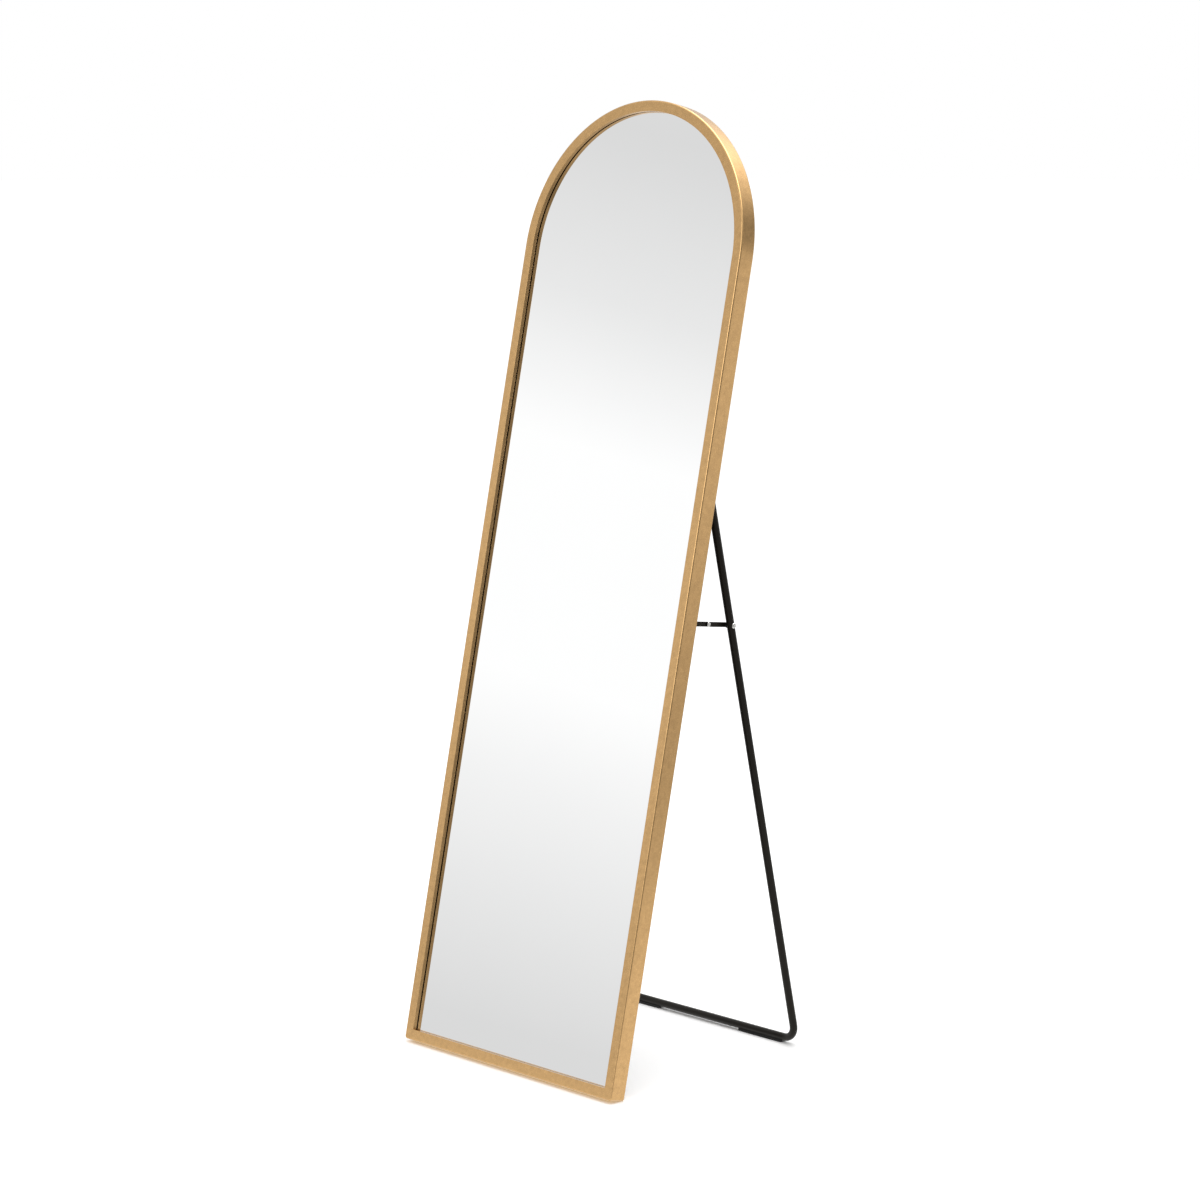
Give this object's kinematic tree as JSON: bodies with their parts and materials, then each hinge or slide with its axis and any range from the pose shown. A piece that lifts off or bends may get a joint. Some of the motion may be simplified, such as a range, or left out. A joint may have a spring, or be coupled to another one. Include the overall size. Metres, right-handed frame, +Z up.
{
  "type": "leaning floor mirror",
  "caption": "Full-length arch-topped floor mirror in a slim gold metal frame that leans back on a folding black tubular stand held open by jointed stays.",
  "frame": {"origin": "middle of the footprint on the floor, between the foot of the frame and the crossbar of the stand", "axes": "+Z up, +X to the right seen from the front, -Y towards the viewer; the frame leans back towards +Y"},
  "size_m": [0.5, 0.4637, 1.5699],
  "materials": {
    "gold_frame": "brushed and anodised pale gold, satin, with a fine mottled grain along the rails",
    "key_metal": "bare cast aluminium",
    "mirror": "clear float glass silvered on its back, with ground edges",
    "foam": "closed-cell polyethylene foam sheet",
    "board": "hard fibreboard with a dark matt lacquered back",
    "clip_steel": "zinc-plated spring steel",
    "screw_steel": "zinc-plated steel screws",
    "black_coating": "satin black powder coat on steel",
    "rivet_steel": "bright nickel-plated steel rivets and pins",
    "nylon": "black nylon",
    "foot_rubber": "black matt rubber"
  },
  "bodies": {
    "frame": {"frame_arch": "gold_frame", "frame_rail_right": "gold_frame", "frame_rail_left": "gold_frame", "frame_rail_bottom": "gold_frame", "corner_key_right": "key_metal", "corner_key_left": "key_metal", "joiner_key_right": "key_metal", "joiner_key_left": "key_metal", "mirror_glass": "mirror", "foam_sheet": "foam", "backing_board": "board", "board_clip_side_1_right": "clip_steel", "board_clip_side_1_left": "clip_steel", "clip_screw_side_1_right": "screw_steel", "clip_screw_side_1_left": "screw_steel", "board_clip_side_2_right": "clip_steel", "board_clip_side_2_left": "clip_steel", "clip_screw_side_2_right": "screw_steel", "clip_screw_side_2_left": "screw_steel", "board_clip_bottom_right": "clip_steel", "board_clip_bottom_left": "clip_steel", "clip_screw_bottom_right": "screw_steel", "clip_screw_bottom_left": "screw_steel", "board_clip_arch_right": "clip_steel", "board_clip_arch_left": "clip_steel", "clip_screw_arch_right": "screw_steel", "clip_screw_arch_left": "screw_steel", "hinge_bracket_right": "black_coating", "hinge_bracket_left": "black_coating", "hinge_screw_1_right": "screw_steel", "hinge_screw_1_left": "screw_steel", "hinge_screw_2_right": "screw_steel", "hinge_screw_2_left": "screw_steel", "stay_bracket_right": "black_coating", "stay_bracket_left": "black_coating", "stay_screw_1_right": "screw_steel", "stay_screw_1_left": "screw_steel", "stay_screw_2_right": "screw_steel", "stay_screw_2_left": "screw_steel", "hinge_pin_right": "rivet_steel", "hinge_pin_left": "rivet_steel", "stay_pin_right": "rivet_steel", "stay_pin_left": "rivet_steel"},
    "stand": {"u_stand": "black_coating", "tube_plug_right": "nylon", "tube_plug_left": "nylon", "foot_pad_right": "foot_rubber", "foot_pad_left": "foot_rubber", "leg_rivet_right": "rivet_steel", "leg_rivet_left": "rivet_steel", "leg_washer_right": "nylon", "leg_washer_left": "nylon"},
    "stay_frame_right": {"frame_link_right": "black_coating", "knuckle_rivet_right": "rivet_steel"},
    "stay_frame_left": {"frame_link_left": "black_coating", "knuckle_rivet_left": "rivet_steel"},
    "stay_leg_right": {"leg_link_right": "black_coating"},
    "stay_leg_left": {"leg_link_left": "black_coating"}
  },
  "joints": [
    {"name": "stand_fold", "type": "hinge", "parent": "frame", "child": "stand", "pos_m": [0, 0.01155, 0.958], "axis": [-1, 0, 0], "range_deg": [0, 24.8]},
    {"name": "stay_frame_fold_right", "type": "hinge", "parent": "frame", "child": "stay_frame_right", "pos_m": [0, -0.03394, 0.74582], "axis": [-1, 0, 0], "range_deg": [0, 95.16]},
    {"name": "stay_knuckle_fold_right", "type": "hinge", "parent": "stay_frame_right", "child": "stay_leg_right", "pos_m": [0, 0.02054, 0.7389], "axis": [-1, 0, 0], "range_deg": [-180.5, 0]},
    {"name": "stay_frame_fold_left", "type": "hinge", "parent": "frame", "child": "stay_frame_left", "pos_m": [0, -0.03394, 0.74582], "axis": [-1, 0, 0], "range_deg": [0, 95.16]},
    {"name": "stay_knuckle_fold_left", "type": "hinge", "parent": "stay_frame_left", "child": "stay_leg_left", "pos_m": [0, 0.02054, 0.7389], "axis": [-1, 0, 0], "range_deg": [-180.5, 0]}
  ],
  "couplings": [
    {"joint": "stay_frame_fold_right", "follows": "stand_fold", "ratio": 3.8252},
    {"joint": "stay_knuckle_fold_right", "follows": "stand_fold", "ratio": -7.2581},
    {"joint": "stay_frame_fold_left", "follows": "stand_fold", "ratio": 3.8252},
    {"joint": "stay_knuckle_fold_left", "follows": "stand_fold", "ratio": -7.2581}
  ]
}
